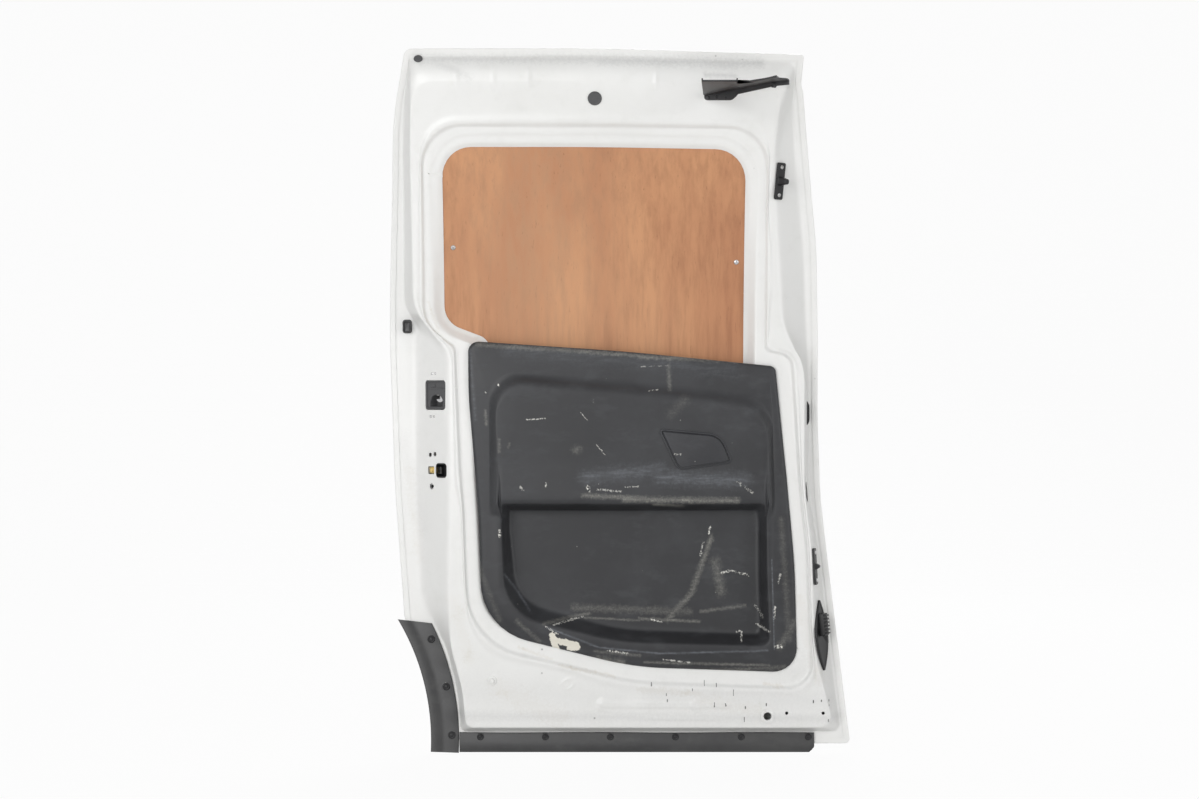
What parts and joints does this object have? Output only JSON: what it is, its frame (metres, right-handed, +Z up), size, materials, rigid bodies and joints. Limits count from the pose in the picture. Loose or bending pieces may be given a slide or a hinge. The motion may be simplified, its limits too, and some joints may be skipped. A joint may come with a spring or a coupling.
{
  "type": "van side door",
  "caption": "Left sliding side door of a small panel van: pressed white shell, plywood window lining, dark trim panel with a pocket, rubber seals, latch and roller arm.",
  "frame": {"origin": "on the flat land at the lower front corner of the inner panel, midway between the two bolt holes of the lower roller arm", "axes": "+X towards the front of the van, +Y towards the outside of the van, +Z up"},
  "size_m": [0.8463, 0.3343, 1.2628],
  "materials": {
    "white_paint": "gloss",
    "dark_paint": "satin",
    "plywood": "matte",
    "trim_plastic": "matte",
    "seal_rubber": "matte",
    "black_plastic": "satin",
    "bare_steel": "satin",
    "yellow_zinc": "satin"
  },
  "bodies": {
    "root": {"outer_skin": "white_paint", "inner_panel": "white_paint", "belt_rail": "white_paint", "plywood_panel": "plywood", "plywood_screws": "bare_steel", "trim_panel": "trim_plastic", "trim_blank": "trim_plastic", "arch_seal": "seal_rubber", "sill_seal": "seal_rubber", "arch_seal_clips": "black_plastic", "sill_seal_clips": "black_plastic", "upper_arm": "dark_paint", "upper_arm_bolts": "bare_steel", "upper_wedge": "black_plastic", "upper_wedge_screws": "bare_steel", "lower_wedge": "black_plastic", "lower_wedge_screws": "bare_steel", "contact_carrier": "black_plastic", "contact_block": "black_plastic", "latch_housing": "black_plastic", "latch_claw": "bare_steel", "latch_screws": "bare_steel", "rear_buffer": "seal_rubber", "hinge_plate": "bare_steel", "hinge_lock_housing": "black_plastic", "hinge_lock_lever": "yellow_zinc", "front_cup": "white_paint", "top_plugs": "black_plastic", "drain_collar": "white_paint", "painted_stud": "white_paint", "lower_arm_nut_plate": "bare_steel", "outer_handle_cup": "black_plastic", "outer_handle": "black_plastic"}
  },
  "joints": []
}
